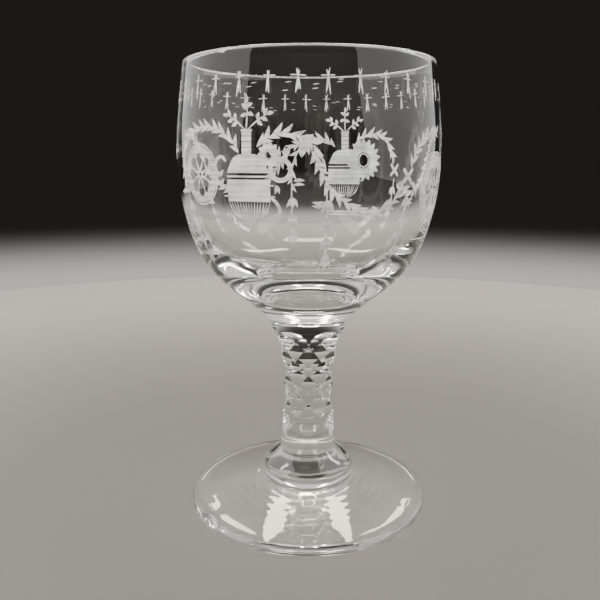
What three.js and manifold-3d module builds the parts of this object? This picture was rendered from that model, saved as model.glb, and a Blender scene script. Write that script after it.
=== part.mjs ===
// A footed wine glass in clear lead glass: a deep rounded bowl on a facet-cut
// stem, a domed collar and a wide foot. The four pieces are fused to each other,
// end face to end face, on one upright axis.
// Millimetres, +Z up, origin at the middle of the foot's underside plane.

import * as THREE from "three";
import { mergeVertices } from "three/addons/utils/BufferGeometryUtils.js";
import Module from "manifold-3d";

const wasm = await Module();
wasm.setup();

const { degToRad } = THREE.MathUtils;

// Foot: a disc with a thick edge, a low cone on top and a hollow underside.
const footRadius = 41.6;
const footEdgeThickness = 3.6;
const footRise = 8.6;              // where the collar sits
const footHollowRise = 2.2;        // middle of the underside above the table
const footHollowFlatness = 0.6;    // share of the hollow's radius that stays level
const standingRingWidth = 4;
const standingRingInset = 0.5;     // ring's outer edge in from the foot's edge

// Collar: a domed cushion between foot and stem.
const collarRadius = 16.1;
const collarHeight = 10.8;
const collarWidestHeight = 2.1;    // above the foot
const collarUndercut = 0.5;
const collarSide = 4.3;            // how long the side stays upright as it curves in
const collarTopPull = 3.3;
const collarTopSlope = degToRad(130);

// Stem: round at both ends, waisted, with staggered rows of ground facets.
const stemLength = 46.6;
const stemFootRadius = 9.8;
const stemWaistRadius = 8.7;
const stemWaistHeight = 19.5;      // narrowest place above the collar
const stemTopRadius = 13.8;
const stemTopSlope = degToRad(23);
const stemFootPull = 6.5;
const stemWaistPull = 12.7;
const stemTopPull = 6.8;
const facetsPerRow = 6;
const facetRowSpacing = 5.2;       // aimed at; rows are spread evenly
const firstFacetRow = 12.5;        // lowest row's middle above the collar
const lastFacetRow = 8.1;          // highest row's middle below the bowl
const facetFullness = 0.9;         // 1 cuts each row into a full hexagon
const cuttingWheelRadius = 12;

// Bowl: the outside flares from the stem, turns up and leans in to the rim.
const bowlHeight = 84;
const bowlRadius = 43;
const bowlWidestHeight = 55;       // above the stem
const rimNarrowing = 2.55;         // rim's radius less than the widest
const rimLean = degToRad(6.5);
const bellyOverhang = 12.5;        // widest radius more than the flare's
const flareHeight = 14.8;          // where the outside turns from hollow to full
const flareSlope = degToRad(45);
const flareStartPull = 3;
const flareEndPull = 8;
const shoulderPull = 17;
const widestPullBelow = 5.6;
const widestPullAbove = 9.4;
const rimPull = 14;
const rimWall = 1.8;
const widestWall = 2;
const bowlFloorHeight = 12.2;      // middle of the inside above the stem
const insideCornerInset = 0.5;     // inside's corner in from the flare
const insideCornerRise = 13.8;     // inside's corner above its floor

// Steps of the turned and curved surfaces.
const turningSteps = 48;
const curveSteps = 7;
const edgeSteps = 4;
const wheelSteps = 72;

const collarBase = footRise;
const stemBase = collarBase + collarHeight;
const bowlBase = stemBase + stemLength;
const rimRadius = bowlRadius - rimNarrowing;
const flareRadius = bowlRadius - bellyOverhang;
const upright = 0;
const level = Math.PI / 2;
const downwards = Math.PI;

// A point in radius and height.
function at(radius, height) {
  return new THREE.Vector2(radius, height);
}

// The point that lies a length away, on a slope measured from upright.
function along(point, slope, length) {
  return at(Math.sin(slope), Math.cos(slope)).multiplyScalar(length).add(point);
}

function curveBetween(start, startHandle, endHandle, end) {
  return new THREE.CubicBezierCurve(start, startHandle, endHandle, end);
}

// Points of several curves that follow each other, without repeats at the joins.
function outlineOf(curves, steps) {
  const outline = [curves[0].getPoint(0)];
  for (const curve of curves) {
    outline.push(...curve.getPoints(steps).slice(1));
  }
  return outline;
}

// A turned body; its outline starts and ends on the axis.
function turned(outline) {
  const geometry = new THREE.LatheGeometry(outline, turningSteps);
  geometry.rotateX(Math.PI / 2);
  return geometry;
}

function solidFrom(geometry) {
  const bare = new THREE.BufferGeometry();
  bare.setAttribute("position", geometry.getAttribute("position").clone());
  bare.setIndex(geometry.getIndex().clone());
  const merged = mergeVertices(bare);
  const corners = merged.getIndex().array;
  const triangles = [];
  for (let start = 0; start < corners.length; start += 3) {
    const [a, b, c] = corners.slice(start, start + 3);
    if (a !== b && b !== c && c !== a) {
      triangles.push(a, b, c);
    }
  }
  return new wasm.Manifold(new wasm.Mesh({
    numProp: 3,
    vertProperties: Float32Array.from(merged.getAttribute("position").array),
    triVerts: Uint32Array.from(triangles),
  }));
}

function geometryFrom(solid) {
  const mesh = solid.getMesh();
  const geometry = new THREE.BufferGeometry();
  geometry.setAttribute("position", new THREE.BufferAttribute(mesh.vertProperties, 3));
  geometry.setIndex(new THREE.BufferAttribute(mesh.triVerts, 1));
  geometry.computeVertexNormals();
  return geometry;
}

function glassPiece(name, geometry, color, opacity) {
  const material = new THREE.MeshStandardMaterial({
    color,
    opacity,
    transparent: true,
    roughness: 0.03,
    metalness: 0,
  });
  const mesh = new THREE.Mesh(geometry, material);
  mesh.name = name;
  return mesh;
}

function foot() {
  const ringOuter = footRadius - standingRingInset;
  const ringInner = ringOuter - standingRingWidth;
  const hollow = new THREE.QuadraticBezierCurve(
    at(0, footHollowRise),
    at(ringInner * footHollowFlatness, footHollowRise),
    at(ringInner, 0),
  );
  const widest = at(footRadius, footEdgeThickness / 2);
  const shoulder = at(ringOuter, footEdgeThickness);
  const lowerEdge = new THREE.QuadraticBezierCurve(at(ringOuter, 0), at(footRadius, 0), widest);
  const upperEdge = new THREE.QuadraticBezierCurve(
    widest,
    at(footRadius, footEdgeThickness),
    shoulder,
  );
  const cone = new THREE.LineCurve(shoulder, at(collarRadius - collarUndercut, footRise));
  const outline = [
    ...hollow.getPoints(curveSteps),
    ...outlineOf([lowerEdge, upperEdge, cone], edgeSteps),
    at(0, footRise),
  ];
  return glassPiece("foot", turned(outline), 0xd9dcd8, 0.4);
}

function collar() {
  const seat = at(collarRadius - collarUndercut, collarBase);
  const widest = at(collarRadius, collarBase + collarWidestHeight);
  const top = at(stemFootRadius, stemBase);
  const underside = new THREE.QuadraticBezierCurve(
    seat,
    at(collarRadius, collarBase + collarUndercut),
    widest,
  );
  const dome = curveBetween(
    widest,
    along(widest, upright, collarSide),
    along(top, collarTopSlope, collarTopPull),
    top,
  );
  const outline = [
    at(0, collarBase),
    ...underside.getPoints(edgeSteps),
    ...dome.getPoints(curveSteps).slice(1),
    at(0, stemBase),
  ];
  return glassPiece("collar", turned(outline), 0xe4e6e2, 0.4);
}

// The stem's outside before it is cut: two curves that meet at its waist.
function stemCurves() {
  const bottom = at(stemFootRadius, stemBase);
  const waist = at(stemWaistRadius, stemBase + stemWaistHeight);
  const top = at(stemTopRadius, bowlBase);
  const taper = Math.atan2(stemWaistRadius - stemFootRadius, stemWaistHeight);
  return [
    curveBetween(
      bottom,
      along(bottom, taper, stemFootPull),
      along(waist, downwards, stemFootPull),
      waist,
    ),
    curveBetween(
      waist,
      along(waist, upright, stemWaistPull),
      along(top, downwards + stemTopSlope, stemTopPull),
      top,
    ),
  ];
}

// Where curves that climb all the way pass a height, found by halving.
function placeAtHeight(curves, height) {
  const curve = curves.find((candidate) => candidate.getPoint(1).y >= height);
  let low = 0;
  let high = 1;
  for (let halving = 0; halving < 30; halving += 1) {
    const middle = (low + high) / 2;
    if (curve.getPoint(middle).y < height) {
      low = middle;
    } else {
      high = middle;
    }
  }
  return { point: curve.getPoint(low), direction: curve.getTangent(low) };
}

// The grinding wheel that cuts one facet: it turns on a level axis beside the stem.
function cuttingWheel(place, turn) {
  const stemRadius = place.point.x;
  const depth = stemRadius * (1 - Math.cos(Math.PI / facetsPerRow)) * facetFullness;
  const reach = cuttingWheelRadius - depth;
  const tilt = Math.atan2(place.direction.x, place.direction.y);
  const centre = along(place.point, tilt + level, reach);
  const wheel = new THREE.CylinderGeometry(
    cuttingWheelRadius,
    cuttingWheelRadius,
    2 * stemRadius,
    wheelSteps,
  );
  wheel.translate(centre.x, 0, centre.y);
  wheel.rotateZ(turn);
  return solidFrom(wheel);
}

function stem() {
  const curves = stemCurves();
  const outline = [
    at(0, stemBase),
    ...outlineOf(curves, curveSteps),
    at(0, bowlBase),
  ];
  let solid = solidFrom(turned(outline));
  const facetSpan = stemLength - firstFacetRow - lastFacetRow;
  const lastRow = Math.round(facetSpan / facetRowSpacing);
  const facetAngle = (2 * Math.PI) / facetsPerRow;
  for (let row = 0; row <= lastRow; row += 1) {
    const height = stemBase + firstFacetRow + (facetSpan * row) / lastRow;
    const place = placeAtHeight(curves, height);
    const firstTurn = -Math.PI / 2 + (row % 2) * (facetAngle / 2);
    for (let facet = 0; facet < facetsPerRow; facet += 1) {
      solid = solid.subtract(cuttingWheel(place, firstTurn + facet * facetAngle));
    }
  }
  return glassPiece("stem", geometryFrom(solid), 0xeceee9, 0.4);
}

function bowl() {
  const joint = at(stemTopRadius, bowlBase);
  const flare = at(flareRadius, bowlBase + flareHeight);
  const widest = at(bowlRadius, bowlBase + bowlWidestHeight);
  const rim = at(rimRadius, bowlBase + bowlHeight - rimWall / 2);
  const outside = outlineOf([
    curveBetween(
      joint,
      along(joint, stemTopSlope, flareStartPull),
      along(flare, downwards + flareSlope, flareEndPull),
      flare,
    ),
    curveBetween(
      flare,
      along(flare, flareSlope, shoulderPull),
      along(widest, downwards, widestPullBelow),
      widest,
    ),
    curveBetween(
      widest,
      along(widest, upright, widestPullAbove),
      along(rim, downwards - rimLean, rimPull),
      rim,
    ),
  ], curveSteps);

  const floor = at(0, bowlBase + bowlFloorHeight);
  const insideWidest = at(bowlRadius - widestWall, widest.y);
  const insideRim = at(rimRadius - rimWall, rim.y);
  const inside = outlineOf([
    curveBetween(
      insideRim,
      along(insideRim, downwards - rimLean, rimPull),
      along(insideWidest, upright, widestPullAbove),
      insideWidest,
    ),
    curveBetween(
      insideWidest,
      at(insideWidest.x, floor.y + insideCornerRise),
      at(flareRadius - insideCornerInset, floor.y),
      floor,
    ),
  ], curveSteps);

  const lipMiddle = rimRadius - rimWall / 2;
  const lip = new THREE.EllipseCurve(lipMiddle, rim.y, rimWall / 2, rimWall / 2, 0, Math.PI);
  const roundedRim = lip.getPoints(edgeSteps).slice(1, -1);
  const outline = [at(0, bowlBase), ...outside, ...roundedRim, ...inside];
  return glassPiece("bowl", turned(outline), 0xdfe2de, 0.3);
}

const wineGlass = new THREE.Group();
wineGlass.add(foot(), collar(), stem(), bowl());

export default wineGlass;
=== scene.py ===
"""Builds the visual model of an engraved, facet-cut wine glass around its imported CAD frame."""

import math
import random

import bmesh
import bpy
from bpy.props import FloatProperty, FloatVectorProperty, IntProperty, PointerProperty
from bpy.types import Operator, Panel, PropertyGroup
from mathutils import Matrix, Vector
from mathutils.geometry import interpolate_bezier


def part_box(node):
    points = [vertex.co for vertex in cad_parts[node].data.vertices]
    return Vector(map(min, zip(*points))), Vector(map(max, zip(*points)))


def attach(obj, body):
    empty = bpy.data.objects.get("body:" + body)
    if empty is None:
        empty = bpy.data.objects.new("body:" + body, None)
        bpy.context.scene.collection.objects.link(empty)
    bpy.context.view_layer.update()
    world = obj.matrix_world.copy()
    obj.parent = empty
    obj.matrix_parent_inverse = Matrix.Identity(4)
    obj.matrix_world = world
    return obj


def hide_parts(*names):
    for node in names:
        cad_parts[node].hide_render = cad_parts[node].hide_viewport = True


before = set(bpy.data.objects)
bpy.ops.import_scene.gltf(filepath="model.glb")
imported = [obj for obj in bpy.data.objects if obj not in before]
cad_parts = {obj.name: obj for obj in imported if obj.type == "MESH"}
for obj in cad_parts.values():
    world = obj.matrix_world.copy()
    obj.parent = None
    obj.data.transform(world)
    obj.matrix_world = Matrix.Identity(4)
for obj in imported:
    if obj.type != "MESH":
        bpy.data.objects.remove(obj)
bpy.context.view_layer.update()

bl_info = {
    "name": "Engraved Wine Glass",
    "version": (1, 0, 0),
    "blender": (4, 5, 0),
    "location": "View3D > Sidebar > Wine Glass",
    "description": "Makes a wine glass with an engraved bowl and a facet-cut stem",
    "category": "Add Mesh",
}

MM = 0.001
UPRIGHT = 0
LEVEL = math.pi / 2
DOWNWARDS = math.pi

BOWL_LOW, BOWL_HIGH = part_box("bowl")
STEM_LOW, STEM_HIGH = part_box("stem")
COLLAR_LOW, COLLAR_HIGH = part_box("collar")
FOOT_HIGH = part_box("foot")[1]

# How the engraved layer lies in the wall, in millimetres
ENGRAVED_DEPTH = 0.05
ENGRAVED_STAND = 0.01
LAYERS = 9
LAYER_LIFT = 0.004

# How long the curves keep their direction at an end, below it and above it, in millimetres
JOINT_PULL = 3
FLARE_PULLS = (8, 17)
WIDEST_PULLS = (5.6, 9.4)
STEM_FOOT_PULL = 6.5
WAIST_PULLS = (6.5, 12.7)
STEM_TOP_PULL = 6.8
COLLAR_PULLS = (4.3, 3.3)

# Edges sharper than these show as edges
BLOWN_EDGE = math.radians(40)
GROUND_EDGE = math.radians(9)
ENGRAVED_EDGE = math.radians(30)

# The chip in the foot's upper edge, in millimetres, and in degrees from the front
CHIP_ANGLE = -52
CHIP_RADIUS = 7
CHIP_STRETCH = 1.5
CHIP_REACH = 46
CHIP_HEIGHT = 6.6

# Clear glass
LEAD_GLASS_IOR = 1.55
SHADOW_CLARITY = 0.93
SURFACE_RELIEF = 0.4 * MM
STROKE_RELIEF = 0.1 * MM
TOOL_RING_SPACING = 3.1 * MM
TOOL_RINGS_START = 10 * MM
TOOL_RINGS_FULL = 19 * MM

# How often light may turn inside the glass, and pass through clear faces
GLASS_BOUNCES = 64
CLEAR_BOUNCES = 24

# The stage, in metres
FLOOR_RADIUS = 0.48
FLOOR_DROP = 0.05 * MM
# Where the floor's painted shade round the glass gives way to painted light towards its edge, in
# metres from the axis
FLOOR_SHADE_FADE = (0.08, 0.42)
MIDDLE = (0, 0, 0.08)
CAMERA_PLACE = (-0.0029, -0.22945, 0.11968)
CAMERA_DIP = math.radians(11.708)
SENSOR_WIDTH = 36
LENS = 40.686
WARM = (1, 0.88, 0.74)
WHITE = (1, 1, 1)

# Where the world's lights begin and end, from 0 straight down to 1 straight up
GLOW_ENDS = 0.417
DARK_STARTS = 0.455
DARK_ENDS = 0.6
CEILING_STARTS = 0.8


def millimetres(name, default, description):
    """A size."""
    return FloatProperty(name=name, default=default, description=description, min=0)


def angle_property(name, degrees, description):
    """An angle."""
    turn = math.radians(degrees)
    return FloatProperty(name=name, default=turn, unit="ROTATION", description=description)


def colour_property(name, default, description):
    """A colour."""
    return FloatVectorProperty(
        name=name, subtype="COLOR", size=4, default=default, description=description
    )


class BowlSizes(PropertyGroup):
    """Sizes of the bowl, in millimetres, with its outside and inside outlines."""

    widest_height: millimetres("Widest height", 55, "Widest place above the stem")
    rim_radius: millimetres("Rim radius", 40.45, "Outside radius at the rim")
    rim_lean: angle_property("Rim lean", 6.5, "How far the wall leans in at the rim")
    rim_pull: millimetres("Rim pull", 14, "How long the wall keeps its lean below the rim")
    joint_radius: millimetres("Joint radius", 13.8, "Radius where the stem joins")
    joint_slope: angle_property("Joint slope", 23, "Slope from upright where the stem joins")
    flare_radius: millimetres("Flare radius", 30.5, "Radius where the outside turns full")
    flare_height: millimetres("Flare height", 14.8, "Height of that place above the stem")
    rim_wall: millimetres("Rim wall", 1.8, "Thickness of the rim")
    widest_wall: millimetres("Widest wall", 2, "Thickness at the widest place")
    floor_height: millimetres("Floor height", 12.2, "Middle of the inside above the stem")
    steps: IntProperty(name="Steps", default=192, min=24, description="Steps round the axis")


class StemSizes(PropertyGroup):
    """Sizes of the stem and its ground facets, in millimetres."""

    foot_radius: millimetres("Foot radius", 9.8, "Radius where the collar joins")
    waist_radius: millimetres("Waist radius", 8.7, "Radius at the narrowest place, uncut")
    waist_height: millimetres("Waist height", 19.5, "Narrowest place above the collar")
    first_row: millimetres("First row", 12.5, "Lowest facets' middle above the collar")
    last_row: millimetres("Last row", 8.1, "Highest facets' middle below the bowl")
    wheel_radius: millimetres("Wheel radius", 12, "Radius of the cutting wheel")
    fullness: FloatProperty(
        name="Fullness", default=0.9, min=0.1, max=1, description="1 cuts full hexagons"
    )
    rows: IntProperty(name="Rows", default=6, min=1, description="Rows of facets")
    facets: IntProperty(name="Facets", default=6, min=3, description="Facets in a row")


class FootSizes(PropertyGroup):
    """Sizes of the foot and the collar on it, in millimetres."""

    edge_thickness: millimetres("Edge thickness", 3.6, "Thickness of the foot's edge")
    hollow_rise: millimetres("Hollow rise", 2.2, "How far the underside is hollowed")
    ring_width: millimetres("Ring width", 4, "Width of the ring that stands on the table")
    ring_inset: millimetres("Ring inset", 0.5, "Ring's outer edge in from the foot's edge")
    seat_radius: millimetres("Seat radius", 15.6, "Radius where the collar meets the foot")
    collar_widest_height: millimetres("Collar widest", 2.1, "Widest place above the foot")


class GlassColours(PropertyGroup):
    """Colours of the glass and of the stage."""

    glass: colour_property("Glass", (0.975, 0.985, 0.975, 1), "The clear glass")
    engraving: colour_property("Engraving", (0.9, 0.895, 0.875, 1), "The matt engraving")
    # The floor's two colours are painted shade round the glass and painted light towards the
    # floor's edge
    floor: colour_property("Floor", (0.145, 0.14, 0.133, 1), "Floor round the glass")
    far_floor_painted_light: colour_property("Far floor", (0.33, 0.316, 0.302, 1), "Floor towards its edge")
    glow: colour_property("Glow", (0.48, 0.458, 0.438, 1), "Light of the backdrop at the floor")
    backdrop: colour_property("Backdrop", (0.024, 0.021, 0.02, 1), "Its light higher up")
    ceiling: colour_property("Ceiling", (0.75, 0.735, 0.71, 1), "Light from above")


class WineGlassSettings(PropertyGroup):
    """Everything that can be set on the wine glass."""

    bowl: PointerProperty(type=BowlSizes)
    stem: PointerProperty(type=StemSizes)
    foot: PointerProperty(type=FootSizes)
    colours: PointerProperty(type=GlassColours)


def settings():
    """The scene's wine glass settings."""
    return bpy.context.scene.wine_glass


# Outlines, as points in radius and height


def at(across, up):
    """A point of an outline or of a drawing."""
    return Vector((across, up))


def along(point, slope, length):
    """The point that lies a length away, on a slope measured from upright."""
    return point + Vector((math.sin(slope), math.cos(slope))) * length


def curve(start, start_handle, end_handle, end, steps=24):
    """Points of a smooth curve between two points."""
    return interpolate_bezier(start, start_handle, end_handle, end, steps + 1)


def rounded(start, corner, end, steps=8):
    """Points of a curve that leaves its start towards a corner and reaches its end from it."""
    return curve(start, start.lerp(corner, 2 / 3), end.lerp(corner, 2 / 3), end, steps)


def bent(start, leaving, start_pull, end, arriving, end_pull, steps=24):
    """Points of a curve that holds a slope at each end, over a length in millimetres."""
    start_handle = along(start, leaving, start_pull * MM)
    return curve(start, start_handle, along(end, arriving, end_pull * MM), end, steps)


def joined(*stretches):
    """One outline from stretches that follow each other, without repeats at the joins."""
    outline = list(stretches[0])
    for stretch in stretches[1:]:
        outline += stretch[1:]
    return outline


def on_outline(outline, height):
    """An outline's radius at a height, and its slope there, measured from upright."""
    above = next(i for i, point in enumerate(outline) if point.y >= height)
    low, high = outline[above - 1], outline[above]
    across, up = high.x - low.x, high.y - low.y
    return low.x + across * (height - low.y) / up, math.atan2(across, up)


def bowl_outside():
    """Outline of the bowl's outside, from the stem to the rim, in metres."""
    sizes = settings().bowl
    base = BOWL_LOW.z
    joint = at(sizes.joint_radius * MM, base)
    flare = at(sizes.flare_radius * MM, base + sizes.flare_height * MM)
    widest = at(BOWL_HIGH.x, base + sizes.widest_height * MM)
    rim = at(sizes.rim_radius * MM, BOWL_HIGH.z - sizes.rim_wall * MM / 2)
    flare_slope = math.radians(45)
    return joined(
        bent(joint, sizes.joint_slope, JOINT_PULL, flare, DOWNWARDS + flare_slope, FLARE_PULLS[0]),
        bent(flare, flare_slope, FLARE_PULLS[1], widest, DOWNWARDS, WIDEST_PULLS[0], 48),
        bent(widest, UPRIGHT, WIDEST_PULLS[1], rim, DOWNWARDS - sizes.rim_lean, sizes.rim_pull),
    )


def bowl_inside():
    """Outline of the bowl's inside, from the rim to the middle of its floor, in metres."""
    sizes = settings().bowl
    floor = at(0, BOWL_LOW.z + sizes.floor_height * MM)
    widest_radius = BOWL_HIGH.x - sizes.widest_wall * MM
    widest = at(widest_radius, BOWL_LOW.z + sizes.widest_height * MM)
    rim_radius = (sizes.rim_radius - sizes.rim_wall) * MM
    rim = at(rim_radius, BOWL_HIGH.z - sizes.rim_wall * MM / 2)
    corner = at((sizes.flare_radius - 0.5) * MM, floor.y)
    return joined(
        bent(rim, DOWNWARDS - sizes.rim_lean, sizes.rim_pull, widest, UPRIGHT, WIDEST_PULLS[1]),
        curve(widest, at(widest_radius, floor.y + 13.8 * MM), corner, floor, 64),
    )


def rounded_rim(steps=8):
    """Half round between the outside and the inside, in metres."""
    sizes = settings().bowl
    radius = sizes.rim_wall * MM / 2
    middle = at(sizes.rim_radius * MM - radius, BOWL_HIGH.z - radius)
    turns = [math.pi * step / steps for step in range(steps + 1)]
    return [middle + Vector((math.cos(turn), math.sin(turn))) * radius for turn in turns]


def stem_outside():
    """Outline of the stem's outside before it is cut, in metres."""
    sizes = settings().stem
    bottom = at(sizes.foot_radius * MM, STEM_LOW.z)
    waist = at(sizes.waist_radius * MM, STEM_LOW.z + sizes.waist_height * MM)
    top = at(settings().bowl.joint_radius * MM, STEM_HIGH.z)
    taper = math.atan2(waist.x - bottom.x, waist.y - bottom.y)
    opening = DOWNWARDS + settings().bowl.joint_slope
    return joined(
        bent(bottom, taper, STEM_FOOT_PULL, waist, DOWNWARDS, WAIST_PULLS[0], 40),
        bent(waist, UPRIGHT, WAIST_PULLS[1], top, opening, STEM_TOP_PULL, 60),
    )


# Mesh making


def turned(outline):
    """A closed turned body; its outline starts and ends on the axis."""
    shape = bmesh.new()
    points = [shape.verts.new((radius, 0, height)) for radius, height in outline]
    edges = [shape.edges.new(pair) for pair in zip(points, points[1:])]
    bmesh.ops.spin(
        shape,
        geom=points + edges,
        axis=(0, 0, 1),
        cent=(0, 0, 0),
        angle=math.tau,
        steps=settings().bowl.steps,
        use_merge=True,
    )
    bmesh.ops.remove_doubles(shape, verts=shape.verts, dist=MM * 1e-4)
    bmesh.ops.recalc_face_normals(shape, faces=shape.faces)
    return shape


def mark_fused(shape, heights):
    """Gives the flat faces at these heights, where pieces are fused, the second material."""
    for face in shape.faces:
        for height in heights:
            if all(abs(vert.co.z - height) < MM * 1e-3 for vert in face.verts):
                face.material_index = 1


def smooth_with_edges(shape, angle):
    """Shades smoothly, except over edges sharper than an angle."""
    for face in shape.faces:
        face.smooth = True
    for edge in shape.edges:
        edge.smooth = edge.calc_face_angle(math.pi) < angle


def new_object(name, shape):
    """An object from a mesh being made, which is used up."""
    mesh = bpy.data.meshes.new(name)
    shape.to_mesh(mesh)
    shape.free()
    made = bpy.data.objects.new(name, mesh)
    bpy.context.collection.objects.link(made)
    return made


def make_piece(name, shape, *materials):
    """A finished piece that rides with the glass."""
    piece = new_object(name, shape)
    for material in materials:
        piece.data.materials.append(material)
    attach(piece, "root")
    return piece


def make_glass(node, shape, sharp, joints, *surface):
    """A glass piece that stands for a node, fused to its neighbours at the joints' heights."""
    name = node + "_glass"
    mark_fused(shape, joints)
    smooth_with_edges(shape, sharp)
    piece = make_piece(name, shape, glass_material(name, *surface), fused_material())
    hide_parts(node)
    return piece


# Materials


def new_material(name):
    """An empty node material with its tree and output."""
    material = bpy.data.materials.new(name)
    material.use_nodes = True
    tree = material.node_tree
    tree.nodes.clear()
    return material, tree, tree.nodes.new("ShaderNodeOutputMaterial")


def new_group(name, inputs, outputs):
    """A shader node group of plain numbers, with its input and output nodes."""
    group = bpy.data.node_groups.new(name, "ShaderNodeTree")
    for label, default in inputs:
        socket = group.interface.new_socket(label, in_out="INPUT", socket_type="NodeSocketFloat")
        socket.default_value = default
    for label in outputs:
        group.interface.new_socket(label, in_out="OUTPUT", socket_type="NodeSocketFloat")
    return group, group.nodes.new("NodeGroupInput"), group.nodes.new("NodeGroupOutput")


def feed(tree, socket, value):
    """Gives an input a number, or links it to an output."""
    if isinstance(value, (int, float)):
        socket.default_value = value
    else:
        tree.links.new(value, socket)


def calculate(tree, operation, *values):
    """A Math node on outputs or numbers; returns its result."""
    node = tree.nodes.new("ShaderNodeMath")
    node.operation = operation
    for socket, value in zip(node.inputs, values):
        feed(tree, socket, value)
    return node.outputs[0]


def ranged(tree, value, low, high, first=0.0, last=1.0, kind="SMOOTHSTEP"):
    """A Map Range node: goes from first to last while a value goes from low to high."""
    node = tree.nodes.new("ShaderNodeMapRange")
    node.interpolation_type = kind
    ends = {"Value": value, "From Min": low, "From Max": high, "To Min": first, "To Max": last}
    for label, end in ends.items():
        feed(tree, node.inputs[label], end)
    return node.outputs[0]


def mixed(tree, share, first, last):
    """A Mix node between two colours; returns its result."""
    node = tree.nodes.new("ShaderNodeMix")
    node.data_type = "RGBA"
    node.inputs["A"].default_value = first
    node.inputs["B"].default_value = last
    tree.links.new(share, node.inputs["Factor"])
    return node.outputs["Result"]


def object_place(tree):
    """Where a point lies in its object."""
    return tree.nodes.new("ShaderNodeTexCoord").outputs["Object"]


def off_axis(tree, place):
    """How far a place lies from the glass's axis."""
    level = tree.nodes.new("ShaderNodeVectorMath")
    level.operation = "MULTIPLY"
    level.inputs[1].default_value = (1, 1, 0)
    tree.links.new(place, level.inputs[0])
    length = tree.nodes.new("ShaderNodeVectorMath")
    length.operation = "LENGTH"
    tree.links.new(level.outputs[0], length.inputs[0])
    return length.outputs["Value"]


def noise(tree, place, scale, detail=2.0, stretch=(1, 1, 1)):
    """Noise over an object place, in spots of about 1/scale metres, squeezed by stretch."""
    mapping = tree.nodes.new("ShaderNodeMapping")
    mapping.inputs["Scale"].default_value = stretch
    tree.links.new(place, mapping.inputs["Vector"])
    node = tree.nodes.new("ShaderNodeTexNoise")
    node.inputs["Scale"].default_value = scale
    node.inputs["Detail"].default_value = detail
    tree.links.new(mapping.outputs[0], node.inputs["Vector"])
    return node.outputs["Fac"]


def relief(tree, height, strength, distance):
    """A Bump node on a height; returns its normal."""
    bump = tree.nodes.new("ShaderNodeBump")
    bump.inputs["Strength"].default_value = strength
    bump.inputs["Distance"].default_value = distance
    tree.links.new(height, bump.inputs["Height"])
    return bump.outputs["Normal"]


def hand_made_surface():
    """Node group: the waviness of blown glass, the rings that tools leave, and fine wear."""
    name = "hand_made_surface"
    if name in bpy.data.node_groups:
        return bpy.data.node_groups[name]
    inputs = (("Waves", 1), ("Rings", 0), ("Ring reach", 0.03), ("Wear", 0.1))
    group, inlet, outlet = new_group(name, inputs, ("Height", "Roughness"))
    link = group.links.new
    place = object_place(group)
    broad = noise(group, place, 38, 1.5, (1, 1, 0.45))
    streaks = noise(group, place, 90, 1, (1, 1, 0.12))
    waves = calculate(group, "ADD", broad, calculate(group, "MULTIPLY", streaks, 0.22))
    reach = off_axis(group, place)
    uneven = calculate(group, "MULTIPLY_ADD", noise(group, place, 45, 2), 0.0055, reach)
    turns = calculate(group, "MULTIPLY", uneven, math.tau / TOOL_RING_SPACING)
    starting = ranged(group, reach, TOOL_RINGS_START, TOOL_RINGS_FULL)
    fading = ranged(group, reach, 0, inlet.outputs["Ring reach"], 1, 0.06)
    rings = calculate(group, "MULTIPLY", calculate(group, "SINE", turns), starting)
    rings = calculate(group, "MULTIPLY", rings, fading)
    waved = calculate(group, "MULTIPLY", waves, inlet.outputs["Waves"])
    height = calculate(group, "MULTIPLY_ADD", rings, inlet.outputs["Rings"], waved)
    link(height, outlet.inputs["Height"])
    scuffs = noise(group, place, 900, 4, (1, 0.25, 1))
    scuffed = calculate(group, "SMOOTH_MAX", calculate(group, "SUBTRACT", scuffs, 0.62), 0, 0.02)
    wear = calculate(group, "MULTIPLY", scuffed, inlet.outputs["Wear"])
    link(wear, outlet.inputs["Roughness"])
    return group


def glass_material(name, waves, rings=0.0, ring_reach=0.03, wear=0.2):
    """Clear lead glass with a hand-made surface; light passes through it to what is behind."""
    material, tree, output = new_material(name)
    link = tree.links.new
    surface = tree.nodes.new("ShaderNodeGroup")
    surface.node_tree = hand_made_surface()
    for socket, value in zip(surface.inputs, (waves, rings, ring_reach, wear)):
        socket.default_value = value
    glass = tree.nodes.new("ShaderNodeBsdfPrincipled")
    glass.inputs["Base Color"].default_value = settings().colours.glass
    glass.inputs["IOR"].default_value = LEAD_GLASS_IOR
    glass.inputs["Transmission Weight"].default_value = 1
    link(surface.outputs["Roughness"], glass.inputs["Roughness"])
    normal = relief(tree, surface.outputs["Height"], 1, SURFACE_RELIEF)
    link(normal, glass.inputs["Normal"])
    path = tree.nodes.new("ShaderNodeLightPath")
    clear = tree.nodes.new("ShaderNodeBsdfTransparent")
    clear.inputs["Color"].default_value = (SHADOW_CLARITY,) * 3 + (1,)
    mix = tree.nodes.new("ShaderNodeMixShader")
    link(path.outputs["Is Shadow Ray"], mix.inputs[0])
    link(glass.outputs[0], mix.inputs[1])
    link(clear.outputs[0], mix.inputs[2])
    link(mix.outputs[0], output.inputs["Surface"])
    return material


def wheel_strokes():
    """Node group: the fine level streaks that a small grinding wheel leaves."""
    name = "wheel_strokes"
    if name in bpy.data.node_groups:
        return bpy.data.node_groups[name]
    group, inlet, outlet = new_group(name, [("Depth", 1)], ("Mask", "Height"))
    link = group.links.new
    place = object_place(group)
    level = noise(group, place, 260, 3, (0.25, 0.25, 4.5))
    cloud = noise(group, place, 160, 3)
    streaks = calculate(group, "MULTIPLY", level, 0.7)
    streaks = calculate(group, "MULTIPLY_ADD", cloud, 0.6, streaks)
    mask = ranged(group, streaks, 0.42, 0.78, kind="LINEAR")
    link(calculate(group, "MULTIPLY", mask, inlet.outputs["Depth"]), outlet.inputs["Mask"])
    link(level, outlet.inputs["Height"])
    return group


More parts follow.
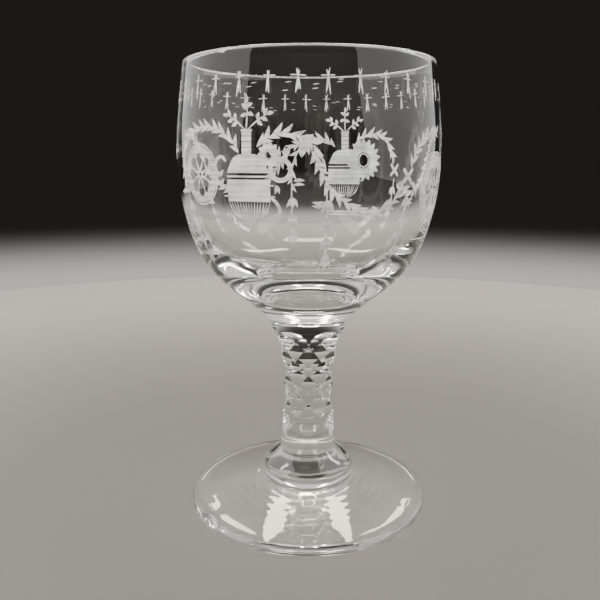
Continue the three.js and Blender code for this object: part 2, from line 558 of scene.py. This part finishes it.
def engraved_material():
    """Ground glass: matt, nearly white, a little see-through between the wheel's strokes."""
    name = "engraved_matt"
    if name in bpy.data.materials:
        return bpy.data.materials[name]
    material, tree, output = new_material(name)
    link = tree.links.new
    strokes = tree.nodes.new("ShaderNodeGroup")
    strokes.node_tree = wheel_strokes()
    mask = strokes.outputs["Mask"]
    white = settings().colours.engraving
    grey = (white[0] * 0.72, white[1] * 0.73, white[2] * 0.74, 1)
    ground = tree.nodes.new("ShaderNodeBsdfPrincipled")
    ground.inputs["IOR"].default_value = 1.3
    link(mixed(tree, mask, grey, white), ground.inputs["Base Color"])
    link(calculate(tree, "MULTIPLY_ADD", mask, -0.15, 0.75), ground.inputs["Roughness"])
    link(calculate(tree, "MULTIPLY_ADD", mask, 0.4, 0.55), ground.inputs["Alpha"])
    normal = relief(tree, strokes.outputs["Height"], 0.6, STROKE_RELIEF)
    link(normal, ground.inputs["Normal"])
    link(ground.outputs[0], output.inputs["Surface"])
    return material


def fused_material():
    """The joint where two pieces are melted together: nothing shows there."""
    material = bpy.data.materials.get("fused_joint")
    if material is None:
        material, tree, output = new_material("fused_joint")
        nothing = tree.nodes.new("ShaderNodeBsdfPrincipled")
        nothing.inputs["Alpha"].default_value = 0
        tree.links.new(nothing.outputs[0], output.inputs["Surface"])
    return material


# Pieces


class WINEGLASS_OT_bowl(Operator):
    """Makes the bowl: a thin wall on a thick, solid base"""

    bl_idname = "wineglass.bowl"
    bl_label = "Make Bowl"

    def execute(self, context):
        wall = joined(bowl_outside(), rounded_rim(), bowl_inside())
        shape = turned([at(0, BOWL_LOW.z), *wall])
        piece = make_glass("bowl", shape, BLOWN_EDGE, [BOWL_LOW.z], 0.5)
        return {"FINISHED"}


def cutting_wheel(radius, height, tilt, turn):
    """One wheel beside the stem, turning on a level axis."""
    sizes = settings().stem
    wheel_radius = sizes.wheel_radius * MM
    depth = radius * (1 - math.cos(math.pi / sizes.facets)) * sizes.fullness
    centre = along(at(radius, height), tilt + LEVEL, wheel_radius - depth)
    shape = bmesh.new()
    bmesh.ops.create_cone(
        shape,
        cap_ends=True,
        segments=180,
        radius1=wheel_radius,
        radius2=wheel_radius,
        depth=2 * radius,
        matrix=Matrix.Rotation(LEVEL, 4, "X"),
    )
    bmesh.ops.translate(shape, verts=shape.verts, vec=(centre.x, 0, centre.y))
    bmesh.ops.rotate(shape, verts=shape.verts, matrix=Matrix.Rotation(turn, 3, "Z"))
    return new_object("wheel", shape)


def cut_away(shape, tools):
    """The shape with every tool cut out of it. The tools are used up."""
    uncut = new_object("uncut", shape.copy())
    for tool in tools:
        cut = uncut.modifiers.new("cut", "BOOLEAN")
        cut.operation = "DIFFERENCE"
        cut.solver = "MANIFOLD"
        cut.object = tool
    graph = bpy.context.evaluated_depsgraph_get()
    result = bpy.data.meshes.new_from_object(uncut.evaluated_get(graph))
    shape.clear()
    shape.from_mesh(result)
    bpy.data.meshes.remove(result)
    for used in [uncut, *tools]:
        used_mesh = used.data
        bpy.data.objects.remove(used)
        bpy.data.meshes.remove(used_mesh)
    return shape


class WINEGLASS_OT_stem(Operator):
    """Makes the stem and grinds its staggered facets"""

    bl_idname = "wineglass.stem"
    bl_label = "Make Stem"

    def execute(self, context):
        sizes = settings().stem
        outside = stem_outside()
        shape = turned([at(0, STEM_LOW.z), *outside, at(0, STEM_HIGH.z)])
        lowest = STEM_LOW.z + sizes.first_row * MM
        highest = STEM_HIGH.z - sizes.last_row * MM
        wheels = []
        for row in range(sizes.rows):
            height = lowest + (highest - lowest) * row / (sizes.rows - 1)
            radius, tilt = on_outline(outside, height)
            for facet in range(sizes.facets):
                turn = math.tau * (facet + (row % 2) / 2) / sizes.facets - math.pi / 2
                wheels.append(cutting_wheel(radius, height, tilt, turn))
        cut_away(shape, wheels)
        piece = make_glass("stem", shape, GROUND_EDGE, [STEM_LOW.z, STEM_HIGH.z], 0.1)
        return {"FINISHED"}


class WINEGLASS_OT_collar(Operator):
    """Makes the domed collar between foot and stem"""

    bl_idname = "wineglass.collar"
    bl_label = "Make Collar"

    def execute(self, context):
        sizes = settings().foot
        base = COLLAR_LOW.z
        seat = at(sizes.seat_radius * MM, base)
        widest = at(COLLAR_HIGH.x, base + sizes.collar_widest_height * MM)
        top = at(settings().stem.foot_radius * MM, COLLAR_HIGH.z)
        underside = rounded(seat, at(COLLAR_HIGH.x, base + 0.5 * MM), widest, 12)
        dome = bent(widest, UPRIGHT, COLLAR_PULLS[0], top, math.radians(130), COLLAR_PULLS[1], 36)
        shape = turned([at(0, base), *joined(underside, dome), at(0, COLLAR_HIGH.z)])
        piece = make_glass("collar", shape, BLOWN_EDGE, [COLLAR_LOW.z, COLLAR_HIGH.z], 0.7)
        return {"FINISHED"}


def chip():
    """A ball that takes a shallow chip out of the foot's upper edge."""
    shape = bmesh.new()
    bmesh.ops.create_icosphere(shape, subdivisions=4, radius=CHIP_RADIUS * MM)
    bmesh.ops.scale(shape, verts=shape.verts, vec=(CHIP_STRETCH, 1, 1))
    centre = (0, -CHIP_REACH * MM, CHIP_HEIGHT * MM)
    bmesh.ops.translate(shape, verts=shape.verts, vec=centre)
    turn = Matrix.Rotation(math.radians(CHIP_ANGLE), 3, "Z")
    bmesh.ops.rotate(shape, verts=shape.verts, matrix=turn)
    return new_object("chip", shape)


class WINEGLASS_OT_foot(Operator):
    """Makes the foot: a disc with a thick edge, a low cone on top and a hollow underside"""

    bl_idname = "wineglass.foot"
    bl_label = "Make Foot"

    def execute(self, context):
        sizes = settings().foot
        ring_outer = FOOT_HIGH.x - sizes.ring_inset * MM
        ring_inner = ring_outer - sizes.ring_width * MM
        rise = sizes.hollow_rise * MM
        edge = sizes.edge_thickness * MM
        widest = at(FOOT_HIGH.x, edge / 2)
        shoulder = at(ring_outer, edge)
        seat = at(sizes.seat_radius * MM, FOOT_HIGH.z)
        hollow = rounded(at(0, rise), at(ring_inner * 0.6, rise), at(ring_inner, 0), 40)
        lower = rounded(at(ring_outer, 0), at(FOOT_HIGH.x, 0), widest)
        upper = rounded(widest, at(FOOT_HIGH.x, edge), shoulder)
        cone = [shoulder.lerp(seat, step / 40) for step in range(41)]
        shape = turned([*hollow, *joined(lower, upper, cone), at(0, FOOT_HIGH.z)])
        cut_away(shape, [chip()])
        piece = make_glass("foot", shape, BLOWN_EDGE, [FOOT_HIGH.z], 0.8, 0.06, 0.036, 0.5)
        return {"FINISHED"}


# Engraving. It is drawn on a flat sheet, in millimetres: along the sheet is the way round the
# bowl, measured from the front, and up the sheet is the height above the table. Then it is
# wrapped on the wall.


def mark(angle, height):
    """The place on the sheet of an angle round the bowl, in degrees, and a height."""
    return at(math.radians(angle) * BOWL_HIGH.x / MM, height)


def facing(angle):
    """A direction on the sheet, in degrees, anticlockwise from along the sheet."""
    return at(math.cos(math.radians(angle)), math.sin(math.radians(angle)))


def heading(direction):
    """The angle of a direction on the sheet, in degrees."""
    return math.degrees(math.atan2(direction.y, direction.x))


def smooth_path(points, spacing):
    """Evenly spaced places on a smooth line through points, each with its direction."""
    ends = [2 * points[0] - points[1], *points, 2 * points[-1] - points[-2]]
    line = [points[0]]
    for before, start, end, after in zip(ends, ends[1:], ends[2:], ends[3:]):
        start_handle = start + (end - before) / 6
        end_handle = end - (after - start) / 6
        line += interpolate_bezier(start, start_handle, end_handle, end, 13)[1:]
    lengths = [0]
    for start, end in zip(line, line[1:]):
        lengths.append(lengths[-1] + (end - start).length)
    count = max(2, round(lengths[-1] / spacing))
    places = []
    reached = 1
    for step in range(count + 1):
        length = lengths[-1] * step / count
        while reached < len(line) - 1 and lengths[reached] < length:
            reached += 1
        start, end = line[reached - 1], line[reached]
        share = (length - lengths[reached - 1]) / (lengths[reached] - lengths[reached - 1])
        places.append((start.lerp(end, share), (end - start).normalized()))
    return places


class Sheet:
    """A flat drawing that gathers cuts. Each cut lies a little above the one before it."""

    def __init__(self, seed):
        self.shape = bmesh.new()
        self.random = random.Random(seed)
        self.cuts = 0

    def patch(self, columns, rows, place):
        """A cut from a grid; place gives a point for two shares, each from 0 to 1."""
        grid = bmesh.ops.create_grid(self.shape, x_segments=columns, y_segments=rows, size=0.5)
        lift = (self.cuts % LAYERS) * LAYER_LIFT
        for vert in grid["verts"]:
            point = place(vert.co.x + 0.5, vert.co.y + 0.5)
            vert.co = (point.x, point.y, lift)
        bmesh.ops.remove_doubles(self.shape, verts=grid["verts"], dist=0.001)
        self.cuts += 1

    def stroke(self, points, width, taper=0.5):
        """A cut along a smooth line, thinner towards its ends; taper 0 keeps its width."""
        places = smooth_path(points, max(0.6, width * 0.8))
        last = len(places) - 1

        def place(along_share, across_share):
            point, direction = places[round(along_share * last)]
            fullness = max(0.08, 4 * along_share * (1 - along_share)) ** taper
            return point + direction.orthogonal() * (across_share - 0.5) * width * fullness

        self.patch(last, 1, place)

    def leaf(self, root, angle, length, width, bend=0.08):
        """A pointed leaf, a little bent, widest nearer its root."""
        direction = facing(angle)
        side = direction.orthogonal()

        def place(along_share, across_share):
            fullness = math.sin(math.pi * along_share**0.8)
            middle = root + direction * length * along_share
            middle += side * bend * length * math.sin(math.pi * along_share)
            return middle + side * (across_share - 0.5) * width * fullness

        self.patch(6, 2, place)

    def ring(self, centre, inner, outer, narrowing=1.0, steps=40):
        """A round band; narrowing below 1 makes it an upright oval."""

        def place(round_share, out_share):
            spoke = facing(360 * round_share) * (inner + (outer - inner) * out_share)
            return centre + at(spoke.x * narrowing, spoke.y)

        self.patch(steps, 2, place)

    def band(self, centre, low, high, half_width, columns=18):
        """A level band whose half width follows the height."""
        rows = max(1, round((high - low) / 0.9))

        def place(across_share, up_share):
            height = low + (high - low) * up_share
            return at(centre + (2 * across_share - 1) * half_width(height), height)

        self.patch(columns, rows, place)

    def tuft(self, point, angle, length=3.6, spread=27):
        """Three leaves from one place."""
        for turn in (-spread, spread, 0):
            turned_angle = angle + turn + self.random.uniform(-4, 4)
            self.leaf(point, turned_angle, length * (0.85 if turn else 1), length * 0.27)

    def garland(self, points, spacing=1.38, length=4.3, spread=29):
        """A row of overlapping leaves that all point along a line, with a thin stem."""
        self.stroke(points, 0.4, 0.2)
        places = smooth_path(points, spacing)
        for index, (point, direction) in enumerate(places):
            angle = heading(direction)
            side = 1 - 2 * (index % 2)
            size = length * self.random.uniform(0.85, 1.08)
            turn = side * (spread + self.random.uniform(-6, 6))
            self.leaf(point, angle + turn, size, size * 0.3, side * -0.1)

    def sprig(self, points, leaves):
        """A thin stem with leaves that are given by their places and directions."""
        self.stroke(points, 0.42, 0.1)
        for root, angle in leaves:
            self.leaf(root, angle, 2.1, 1.15)

    def finish(self, name):
        """The drawing as a thin engraved layer on the bowl's wall."""
        shape = self.shape
        copy = bmesh.ops.extrude_face_region(shape, geom=shape.faces[:], use_keep_orig=True)
        front = [item for item in copy["geom"] if isinstance(item, bmesh.types.BMVert)]
        bmesh.ops.translate(shape, verts=front, vec=(0, 0, ENGRAVED_DEPTH + ENGRAVED_STAND))
        wall = bowl_outside()
        for vert in shape.verts:
            height = vert.co.y * MM
            angle = vert.co.x * MM / BOWL_HIGH.x
            radius = on_outline(wall, height)[0] + (vert.co.z - ENGRAVED_DEPTH) * MM
            vert.co = (radius * math.sin(angle), -radius * math.cos(angle), height)
        bmesh.ops.recalc_face_normals(shape, faces=shape.faces)
        smooth_with_edges(shape, ENGRAVED_EDGE)
        piece = make_piece(name, shape, engraved_material())


def urn(sheet, angle, foot_height, scale=1.0):
    """An urn with a neck, a banded body, flutes below and three sprigs in its mouth."""
    middle = mark(angle, 0).x

    def spot(across, up):
        return at(middle + across * scale, foot_height + up * scale)

    def body_width(height):
        up = (height - foot_height) / scale
        shoulder = min(1, max(0, (28.5 - up) / 5.5))
        return scale * (2.6 + 4.2 * math.sqrt(shoulder))

    def neck_width(height):
        lip = 0.3 * (height > foot_height + 34.6 * scale)
        return scale * (1.5 + lip)

    for low, high in ((15.5, 21.6), (22.2, 22.7), (23.4, 28.5)):
        sheet.band(middle, spot(0, low).y, spot(0, high).y, body_width)
    for low, high in ((28.5, 30.3), (30.45, 31.8), (31.95, 33.3), (33.45, 35.2)):
        sheet.band(middle, spot(0, low).y, spot(0, high).y, neck_width, 6)
    for flute in range(15):
        side = (flute - 7) / 7
        low = 8.4 + 1.6 * abs(side) + sheet.random.uniform(-0.6, 1.8)
        lean = side + sheet.random.uniform(-0.04, 0.04)
        points = [spot(side * 6.7, 15.6), spot(lean * 5.2, 12), spot(lean * 2.6, low)]
        sheet.stroke(points, sheet.random.uniform(0.28, 0.42) * scale, 1.2)
    for across, up in ((-7.4, 17), (7.4, 17), (-7.2, 20), (7.2, 20)):
        sheet.stroke([spot(across - 0.9, up), spot(across + 0.9, up)], 0.5)
    sheet.sprig(
        [spot(0, 35.2), spot(0.1, 39), spot(0, 43.5)],
        [
            (spot(0, 42), 92), (spot(0, 41), 30), (spot(0, 41), 150),
            (spot(0.2, 39.4), -20), (spot(-0.1, 39.4), 200),
        ],
    )
    for side in (-1, 1):
        tip = 90 - side * 78
        sheet.sprig(
            [spot(side * 0.6, 35.2), spot(side * 3, 37.2), spot(side * 6, 39)],
            [
                (spot(side * 6, 39), tip), (spot(side * 5.2, 38.8), 90 - side * 28),
                (spot(side * 4.4, 38.1), 90 - side * 115), (spot(side * 3.4, 37.6), 90 - side * 8),
                (spot(side * 3.1, 37.2), 90 - side * 125),
            ],
        )


def patera(sheet, centre, radius, narrowing=0.9):
    """A round medallion: a broad rim round a field with eight clear petals."""
    field = radius * 0.79
    sheet.ring(centre, field, radius, narrowing, 48)
    sheet.ring(centre, radius * 1.03, radius * 1.1, narrowing, 48)
    petals = 8
    half_sector = 180 / petals
    for petal in range(petals):
        for side in (-1, 1):

            def place(out_share, across_share):
                fullness = max(0, math.sin(math.pi * min(1, out_share * 1.04) ** 2))
                clear = half_sector * 0.88 * fullness**0.4
                turn = clear + (half_sector - clear) * across_share
                angle = 360 * petal / petals + side * turn
                spoke = facing(angle) * field * (0.1 + 0.9 * out_share)
                return centre + at(spoke.x * narrowing, spoke.y)

            sheet.patch(10, 2, place)


def blossom(sheet, centre, radius, petals, narrowing=0.9):
    """A daisy: two rows of narrow petals round a clear oval eye with a ring in it."""
    sheet.ring(centre, radius * 0.26, radius * 0.33, narrowing, 28)
    sheet.ring(centre, radius * 0.37, radius * 0.5, narrowing, 28)
    width = 4.3 * radius / petals
    for row, start, length in ((0, 0.44, 0.36), (1, 0.6, 0.42)):
        for petal in range(petals):
            angle = 360 * (petal + row / 2) / petals
            spoke = facing(angle) * radius * start
            root = centre + at(spoke.x * narrowing, spoke.y)
            sheet.leaf(root, angle, radius * length, width, 0)


def pendant(sheet, top, bottom, tufts, length=3.6):
    """A hanging stem with tufts of three leaves."""
    sheet.stroke([top, bottom], 0.4, 0.1)
    for step in range(tufts):
        sheet.tuft(top.lerp(bottom, (step + 0.6) / tufts), -90, length)


def knot(sheet, centre):
    """A tied bow: two crossed bands with a short tie."""
    for side in (-1, 1):
        ends = [
            centre + at(-side * 2, -2.2), centre + at(-side * 0.5, -0.4),
            centre + at(side * 0.5, 0.4), centre + at(side * 2, 2.2),
        ]
        sheet.stroke(ends, 1.2, 0.2)
    sheet.stroke([centre - at(0.9, 0), centre + at(0.9, 0)], 1.5, 0.4)


def marks(*places):
    """Several places on the sheet."""
    return [mark(*place) for place in places]


class WINEGLASS_OT_border(Operator):
    """Engraves the border of tied sheaves under the rim"""

    bl_idname = "wineglass.border"
    bl_label = "Engrave Border"

    def execute(self, context):
        sheet = Sheet(5)
        vary = sheet.random.uniform
        count = 31
        sheaves = [(-1, 0.2, 1), (-0.8, 0.8), (-0.9, 0, 0.9), (-0.4, 0.6)]
        for index in range(count):
            foot = mark(360 * index / count - 4.8, 0)
            if foot.x < -math.pi * BOWL_HIGH.x / MM:
                foot.x += math.tau * BOWL_HIGH.x / MM
            shift = vary(-0.3, 0.3)
            tie = foot + at(shift, 141.7)
            for lean in sheet.random.choice(sheaves):
                top = tie + at(lean * 0.6, 1.5 + vary(-0.4, 0.5))
                low = tie + at(-lean * 0.75, -4.5 + vary(-0.9, 0.9))
                sheet.stroke([top, tie + at(lean * 0.1, 0), low], 0.52, 0.45)
            for side in (-1, 1):
                reach = side * vary(1.3, 2.4)
                rise = vary(-0.15, 0.25)
                end = tie + at(reach, rise)
                sheet.stroke([tie + at(side * 0.2, 0), end], 0.38, 0.4)
            for _ in range(2):
                across = vary(2.4, 5.6)
                start = tie + at(across, vary(-4.4, -1))
                sheet.stroke([start, start + at(1.7, 0.15)], 0.24, 0.4)
        sheet.finish("engraved_border")
        return {"FINISHED"}


class WINEGLASS_OT_urns(Operator):
    """Engraves the two urns with their sprigs, handles and bases"""

    bl_idname = "wineglass.urns"
    bl_label = "Engrave Urns"

    def execute(self, context):
        sheet = Sheet(11)
        urn(sheet, -24.2, 92.6)
        sheet.ring(mark(-11.1, 116.9), 2.2, 3.5, 1, 28)
        for angle, tilt in ((-13.6, 118), (-12.4, 108), (-11, 96), (-9.6, 82), (-8.4, 70)):
            sheet.leaf(mark(angle, 120.4), tilt, 2.9, 0.8)
        sheet.stroke(marks((-38.6, 114), (-38.9, 118.4), (-36, 120.6), (-33.4, 119.2)), 1.1, 0.2)
        sheet.stroke(marks((-15, 109.5), (-12.6, 107.6), (-11.6, 105.4), (-13.4, 104.3)), 1.0, 0.2)
        for tilt in (-100, -70):
            sheet.leaf(mark(-12.8, 112.8), tilt, 2.6, 0.9)
        for height in (112.4, 114.9):
            sheet.leaf(mark(-36.3, height), 60, 2.4, 1.1)
            sheet.leaf(mark(-36.3, height), 120, 2.4, 1.1)
        for height, reach in ((91.1, 11), (90, 8.5)):
            sheet.stroke(marks((-25 - reach, height + 0.3), (-25 + reach, height - 0.4)), 0.7)
        sheet.finish("engraved_front_urn")

        sheet = Sheet(12)
        urn(sheet, 159.6, 95.0, 0.99)
        sheet.stroke(marks((169.8, 114.6), (171.6, 119.6), (174.6, 121), (177, 118.6)), 1.0, 0.2)
        sheet.leaf(mark(174.6, 121), 78, 2.8, 1.0)
        sheet.leaf(mark(176.4, 120.6), 64, 2.6, 1.0)
        for height, left, right in ((98.4, 150, 166.5), (97.2, 148.5, 167.5)):
            sheet.stroke(marks((left, height), (right, height)), 0.8, 0.3)
        sheet.finish("engraved_back_urn")
        return {"FINISHED"}


class WINEGLASS_OT_rounds(Operator):
    """Engraves the medallions and the blossoms"""

    bl_idname = "wineglass.rounds"
    bl_label = "Engrave Medallions"

    def execute(self, context):
        sheet = Sheet(21)
        patera(sheet, mark(-48.3, 115.4), 8.1)
        patera(sheet, mark(64.5, 111.2), 9.9, 1)
        sheet.finish("engraved_medallions")
        sheet = Sheet(22)
        blossom(sheet, mark(-15.4, 120.9), 3.5, 11)
        blossom(sheet, mark(148.8, 119.4), 7.8, 18)
        sheet.finish("engraved_blossoms")
        return {"FINISHED"}


class WINEGLASS_OT_garlands(Operator):
    """Engraves the garlands between the urns, the medallions and the knots"""

    bl_idname = "wineglass.garlands"
    bl_label = "Engrave Garlands"

    def execute(self, context):
        front = (
            (
                (-27.4, 121.5), (-30.5, 124.6), (-36, 127.4), (-43, 128.6), (-51.7, 128.1),
                (-57.5, 125.8), (-61, 121.5), (-61.5, 113.5),
            ),
            ((-20, 123), (-16, 125.4), (-10, 126.6), (-4, 125.8), (-0.5, 124.6)),
            ((1, 123.5), (2.4, 118.5), (5.4, 114.6), (7.4, 111.6)),
            (
                (8, 110.8), (12.5, 108.4), (18, 106), (23, 104.9), (28, 105.2), (34.8, 108.5),
                (38, 111),
            ),
            ((42.6, 117.3), (44.6, 120.6), (48, 123.9), (53, 126.4), (62, 127.6)),
        )
        back = (
            ((165, 124.3), (169, 126.6), (175, 127.4), (181, 126.8), (186, 125)),
            ((154, 124.8), (151, 127.2), (146, 128.6), (139, 128.2), (134, 126), (130.6, 121.6)),
            ((78, 127.2), (88, 126), (97, 121), (104, 113), (112, 108), (122, 108.5)),
            ((190, 124), (197, 116), (206, 109.6), (218, 107), (230, 109), (240, 115)),
            ((-116, 118), (-109, 124), (-99, 127.6), (-88, 127.4), (-79, 123)),
        )
        for side, seed, lines in (("front", 31, front), ("back", 32, back)):
            sheet = Sheet(seed)
            for line in lines:
                sheet.garland(marks(*line))
            sheet.finish(f"engraved_{side}_garlands")
        return {"FINISHED"}


class WINEGLASS_OT_pendants(Operator):
    """Engraves the knots and the pendants that hang from them"""

    bl_idname = "wineglass.pendants"
    bl_label = "Engrave Pendants"

    def execute(self, context):
        sheet = Sheet(41)
        sheet.tuft(mark(-2, 124.6), -100, 4.6)
        pendant(sheet, mark(6, 112), mark(6.2, 91), 4, 5)
        for height in (108.2, 107.2):
            sheet.leaf(mark(5.4, height), 180, 3.8, 1.0)
        pendant(sheet, mark(-7, 112.5), mark(-7.4, 98), 3, 4.1)
        sheet.garland(marks((-3, 123.4), (-5.4, 120.6), (-6.8, 117), (-7, 113.5)), 1.7, 3)
        for height in (113.9, 112.8):
            sheet.leaf(mark(-6.3, height), 2, 3.2, 0.9)
        knot(sheet, mark(40.8, 115))
        pendant(sheet, mark(41, 112), mark(39.5, 89), 5, 4.6)
        for height in (107.8, 106.8):
            sheet.leaf(mark(41.4, height), 10, 3, 0.9)
        sheet.leaf(mark(38.6, 113.4), 190, 2.8, 1.3)
        sheet.leaf(mark(43, 113.4), -48, 4.2, 1.4)
        pendant(sheet, mark(-60, 111), mark(-54.5, 90.5), 4, 5)
        sheet.leaf(mark(-61, 111.4), 196, 5.5, 1.6)
        sheet.finish("engraved_front_pendants")

        sheet = Sheet(42)
        for angle, low, tufts, length in ((-118, 91, 5, 4.4), (128.6, 93, 4, 4.6)):
            knot(sheet, mark(angle, 116))
            pendant(sheet, mark(angle, 113), mark(angle, low), tufts, length)
        sheet.finish("engraved_back_pendants")
        return {"FINISHED"}


# Stage


def area_light(name, place, size, power, colour=WHITE):
    """A soft rectangular light that faces the middle of the glass."""
    lamp = bpy.data.lights.new(name, "AREA")
    lamp.shape = "RECTANGLE"
    lamp.size, lamp.size_y = size
    lamp.energy = power
    lamp.color = colour
    light = bpy.data.objects.new(name, lamp)
    light.location = place
    light.rotation_euler = (Vector(MIDDLE) - Vector(place)).to_track_quat("-Z", "Y").to_euler()
    bpy.context.collection.objects.link(light)
    return light


class WINEGLASS_OT_stage(Operator):
    """Makes the floor, the lights and the camera"""

    bl_idname = "wineglass.stage"
    bl_label = "Make Stage"

    def execute(self, context):
        self.make_floor()
        self.make_lights()
        self.make_world(context.scene)
        lens = bpy.data.cameras.new("camera")
        lens.sensor_width = SENSOR_WIDTH
        lens.lens = LENS
        lens.clip_start = 0.01
        camera = bpy.data.objects.new("camera", lens)
        camera.location = CAMERA_PLACE
        camera.rotation_euler = (LEVEL - CAMERA_DIP, 0, 0)
        context.collection.objects.link(camera)
        context.scene.camera = camera
        return {"FINISHED"}

    def make_floor(self):
        """A plain disc, darker round the glass and paler towards its edge: painted shade near the
        glass and painted light further out.
        """
        shape = bmesh.new()
        bmesh.ops.create_circle(shape, cap_ends=True, segments=128, radius=FLOOR_RADIUS)
        bmesh.ops.translate(shape, verts=shape.verts, vec=(0, 0, -FLOOR_DROP))
        floor = new_object("floor", shape)
        material, tree, output = new_material("floor_paper")
        colours = settings().colours
        # Painted shade makes the floor darker round the glass, and painted light makes it paler
        # further out
        shade_fade = ranged(tree, off_axis(tree, object_place(tree)), *FLOOR_SHADE_FADE)
        colour = mixed(tree, shade_fade, colours.floor, colours.far_floor_painted_light)
        paper = tree.nodes.new("ShaderNodeBsdfPrincipled")
        paper.inputs["Roughness"].default_value = 0.7
        tree.links.new(colour, paper.inputs["Base Color"])
        tree.links.new(paper.outputs[0], output.inputs["Surface"])
        floor.data.materials.append(material)

    def make_lights(self):
        """Panels at the sides and above, strips behind and beside, and two keys in front."""
        panels = (
            area_light("left_panel", (-0.695, 0.08, 0.42), (1.32, 1), 8),
            area_light("right_panel", (0.7, -0.01, 0.42), (1.5, 1), 8),
        )
        for panel in panels:
            panel.visible_camera = False
            panel.visible_diffuse = False
            panel.visible_transmission = False
        area_light("top_panel", (0, 0.1, 0.95), (0.46, 0.16), 2.6, WARM)
        for name, across in (("left_back_strip", -0.13), ("right_back_strip", 0.15)):
            area_light(name, (across, 0.62, 0.62), (0.06, 0.45), 1.4, WARM)
        for name, across, back in (("left_strip", -0.75, -0.1), ("right_strip", 0.75, 0.2)):
            area_light(name, (across, back, 0.62), (0.12, 0.4), 1.6)
        for name, side, power in (("left_key", -1, 3.6), ("right_key", 1, 3.0)):
            key = area_light(name, (side * 0.45, -0.7, 0.5), (0.4, 0.4), power)
            key.visible_glossy = False
            key.visible_transmission = False

    def make_world(self, scene):
        """A backdrop that glows low down, is dark at eye height and is lit from above."""
        world = bpy.data.worlds.new("studio")
        world.use_nodes = True
        tree = world.node_tree
        split = tree.nodes.new("ShaderNodeSeparateXYZ")
        tree.links.new(tree.nodes.new("ShaderNodeTexCoord").outputs["Generated"], split.inputs[0])
        rise = calculate(tree, "MULTIPLY_ADD", split.outputs["Z"], 0.5, 0.5)
        sweep = tree.nodes.new("ShaderNodeValToRGB")
        sweep.color_ramp.interpolation = "EASE"
        colours = settings().colours
        stops = sweep.color_ramp.elements
        stops[0].position, stops[0].color = GLOW_ENDS, colours.glow
        stops[1].position, stops[1].color = CEILING_STARTS, colours.ceiling
        for position in (DARK_STARTS, DARK_ENDS):
            stops.new(position).color = colours.backdrop
        tree.links.new(rise, sweep.inputs[0])
        tree.links.new(sweep.outputs[0], tree.nodes["Background"].inputs["Color"])
        scene.world = world
        scene.view_settings.look = "AgX - Medium High Contrast"
        for kind in ("max_bounces", "transmission_bounces", "glossy_bounces"):
            setattr(scene.cycles, kind, GLASS_BOUNCES)
        scene.cycles.transparent_max_bounces = CLEAR_BOUNCES


class WINEGLASS_PT_panel(Panel):
    """Lists the steps in the sidebar"""

    bl_idname = "WINEGLASS_PT_panel"
    bl_label = "Wine Glass"
    bl_space_type = "VIEW_3D"
    bl_region_type = "UI"
    bl_category = "Wine Glass"

    def draw(self, context):
        for step in STEPS:
            self.layout.operator(step.bl_idname)


STEPS = (
    WINEGLASS_OT_foot,
    WINEGLASS_OT_collar,
    WINEGLASS_OT_stem,
    WINEGLASS_OT_bowl,
    WINEGLASS_OT_border,
    WINEGLASS_OT_urns,
    WINEGLASS_OT_rounds,
    WINEGLASS_OT_garlands,
    WINEGLASS_OT_pendants,
    WINEGLASS_OT_stage,
)
SETTINGS = (BowlSizes, StemSizes, FootSizes, GlassColours, WineGlassSettings)
CLASSES = (*SETTINGS, *STEPS, WINEGLASS_PT_panel)


def register():
    """Adds the settings, the operators and the panel."""
    for cls in CLASSES:
        bpy.utils.register_class(cls)
    bpy.types.Scene.wine_glass = PointerProperty(type=WineGlassSettings)


def unregister():
    """Takes them away again."""
    del bpy.types.Scene.wine_glass
    for cls in reversed(CLASSES):
        bpy.utils.unregister_class(cls)


def main():
    """Makes the whole glass and its stage."""
    register()
    bpy.ops.wineglass.foot()
    bpy.ops.wineglass.collar()
    bpy.ops.wineglass.stem()
    bpy.ops.wineglass.bowl()
    bpy.ops.wineglass.border()
    bpy.ops.wineglass.urns()
    bpy.ops.wineglass.rounds()
    bpy.ops.wineglass.garlands()
    bpy.ops.wineglass.pendants()
    bpy.ops.wineglass.stage()


if __name__ == "__main__":
    main()
